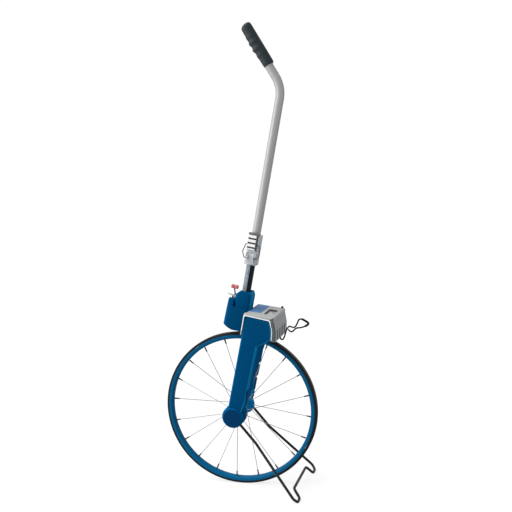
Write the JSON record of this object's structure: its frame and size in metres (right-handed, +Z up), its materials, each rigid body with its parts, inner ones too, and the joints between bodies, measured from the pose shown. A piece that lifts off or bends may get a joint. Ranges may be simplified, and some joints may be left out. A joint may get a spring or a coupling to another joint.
{
  "type": "measuring wheel",
  "caption": "Walking measuring wheel: spoked wheel in a two-leg fork, belt-driven counter box, folding bent mast with grip, draw latch, brake lever and folding rod stand.",
  "frame": {"origin": "on the ground directly under the wheel's axle, in the wheel's middle plane", "axes": "+Z up, +X forwards in the direction of travel (the side of the stand), -Y the side of the drive leg"},
  "size_m": [0.398, 0.2555, 1.167],
  "materials": {
    "tyre_rubber": "matt solid rubber with fine circumferential lines",
    "blue_rim": "gloss blue coat",
    "bright_steel": "bright zinc-plated steel",
    "spoke_steel": "drawn wire, darker nipples",
    "blue_shell": "moulded, satin gloss",
    "navy_cap": "moulded, satin",
    "box_grey": "fine moulded texture",
    "cover_grey": "fine moulded texture",
    "window_lens": "clear",
    "button_red": "gloss",
    "drum_white": "white with printed digits",
    "belt_black": "matt",
    "red_knob": "satin",
    "black_tube": "gloss black",
    "latch_grey": "satin die-cast",
    "mast_grey": "satin anodised",
    "grip_dark": "soft matt",
    "rod_black": "semi-gloss black"
  },
  "bodies": {
    "fork_assembly": {"near_leg_housing": "blue_shell", "near_leg_cover": "blue_shell", "near_hub_cap": "navy_cap", "far_leg": "blue_shell", "far_hub_cap": "navy_cap", "axle": "bright_steel", "axle_nut": "bright_steel", "fork_crown": "blue_shell", "counter_housing": "box_grey", "counter_cover": "cover_grey", "window_lens": "window_lens", "drive_belt": "belt_black", "bracket_shroud": "blue_shell", "mast_socket": "blue_shell", "mast_lower_tube": "black_tube", "lower_sleeve": "latch_grey", "fold_pin": "bright_steel"},
    "wheel": {"tyre": "tyre_rubber", "rim": "blue_rim", "hub_shell": "bright_steel", "drive_pulley": "drum_white", "bearing_near": "bright_steel", "bearing_far": "bright_steel", "spoke_01": "spoke_steel", "spoke_02": "spoke_steel", "spoke_03": "spoke_steel", "spoke_04": "spoke_steel", "spoke_05": "spoke_steel", "spoke_06": "spoke_steel", "spoke_07": "spoke_steel", "spoke_08": "spoke_steel", "spoke_09": "spoke_steel", "spoke_10": "spoke_steel", "spoke_11": "spoke_steel", "spoke_12": "spoke_steel", "spoke_13": "spoke_steel", "spoke_14": "spoke_steel", "spoke_15": "spoke_steel", "spoke_16": "spoke_steel", "spoke_17": "spoke_steel", "spoke_18": "spoke_steel", "spoke_19": "spoke_steel", "spoke_20": "spoke_steel"},
    "stand_frame": {"stand": "rod_black"},
    "upper_mast": {"mast_upper_tube": "mast_grey", "handle_grip": "grip_dark", "upper_sleeve": "latch_grey"},
    "latch_handle": {"latch_lever": "latch_grey"},
    "latch_wire": {"latch_bail": "bright_steel"},
    "brake_arm": {"brake_lever": "bright_steel", "brake_knob": "red_knob"},
    "brake_block": {"brake_shoe": "belt_black"},
    "release_catch": {"release_lever": "bright_steel"},
    "reset_key": {"reset_button": "button_red"},
    "counter_drive": {"counter_shaft": "bright_steel"},
    "tenths_wheel": {"drum_tenths": "drum_white"},
    "units_wheel": {"drum_units": "drum_white"},
    "tens_wheel": {"drum_tens": "drum_white"},
    "hundreds_wheel": {"drum_hundreds": "drum_white"},
    "retaining_clip": {"stand_clip": "rod_black"}
  },
  "joints": [
    {"name": "wheel_spin", "type": "hinge", "parent": "fork_assembly", "child": "wheel", "pos_m": [0, 0, 0.199], "axis": [0, 1, 0], "continuous": true},
    {"name": "stand_fold", "type": "hinge", "parent": "fork_assembly", "child": "stand_frame", "pos_m": [0, 0, 0.199], "axis": [0, -1, 0], "range_deg": [0, 105]},
    {"name": "handle_fold", "type": "hinge", "parent": "fork_assembly", "child": "upper_mast", "pos_m": [0.0397, 0.0225, 0.60897], "axis": [-0.9816, 0, 0.1912], "range_deg": [0, 180]},
    {"name": "latch_open", "type": "hinge", "parent": "fork_assembly", "child": "latch_handle", "pos_m": [0.0376, -0.0206, 0.59817], "axis": [-0.9816, 0, 0.1912], "range_deg": [0, 150]},
    {"name": "bail_swing", "type": "hinge", "parent": "latch_handle", "child": "latch_wire", "pos_m": [0.03607, -0.0242, 0.59032], "axis": [-0.9816, 0, 0.1912], "range_deg": [-175, 0]},
    {"name": "brake_press", "type": "hinge", "parent": "fork_assembly", "child": "brake_arm", "pos_m": [-0.01759, 0, 0.45916], "axis": [0, -1, 0], "range_deg": [0, 15]},
    {"name": "shoe_drop", "type": "slide", "parent": "fork_assembly", "child": "brake_block", "axis": [-0.1912, 0, -0.9816], "range_m": [0, 0.0055]},
    {"name": "release_press", "type": "hinge", "parent": "fork_assembly", "child": "release_catch", "pos_m": [-0.00236, -0.013, 0.49032], "axis": [0, -1, 0], "range_deg": [0, 12], "stiffness_Nm_per_rad": 0.02},
    {"name": "reset_press", "type": "slide", "parent": "fork_assembly", "child": "reset_key", "axis": [-0.1912, 0, -0.9816], "range_m": [0, 0.003], "stiffness_N_per_m": 300},
    {"name": "counter_spin", "type": "hinge", "parent": "fork_assembly", "child": "counter_drive", "pos_m": [0.071, 0, 0.43019], "axis": [0, 1, 0], "continuous": true},
    {"name": "tenths_spin", "type": "hinge", "parent": "fork_assembly", "child": "tenths_wheel", "pos_m": [0.071, 0, 0.43019], "axis": [0, 1, 0], "continuous": true},
    {"name": "units_spin", "type": "hinge", "parent": "fork_assembly", "child": "units_wheel", "pos_m": [0.071, 0, 0.43019], "axis": [0, 1, 0], "continuous": true},
    {"name": "tens_spin", "type": "hinge", "parent": "fork_assembly", "child": "tens_wheel", "pos_m": [0.071, 0, 0.43019], "axis": [0, 1, 0], "continuous": true},
    {"name": "hundreds_spin", "type": "hinge", "parent": "fork_assembly", "child": "hundreds_wheel", "pos_m": [0.071, 0, 0.43019], "axis": [0, 1, 0], "continuous": true},
    {"name": "clip_swing", "type": "hinge", "parent": "fork_assembly", "child": "retaining_clip", "pos_m": [0.10016, 0, 0.38376], "axis": [0, -1, 0], "range_deg": [-35, 0]}
  ],
  "couplings": [
    {"joint": "bail_swing", "follows": "latch_open", "ratio": -1.15},
    {"joint": "shoe_drop", "follows": "brake_press", "m_per_rad": 0.0199},
    {"joint": "counter_spin", "follows": "wheel_spin", "ratio": 1},
    {"joint": "tenths_spin", "follows": "wheel_spin", "ratio": 1.25},
    {"joint": "units_spin", "follows": "wheel_spin", "ratio": 0.125},
    {"joint": "tens_spin", "follows": "wheel_spin", "ratio": 0.0125},
    {"joint": "hundreds_spin", "follows": "wheel_spin", "ratio": 0.00125}
  ]
}
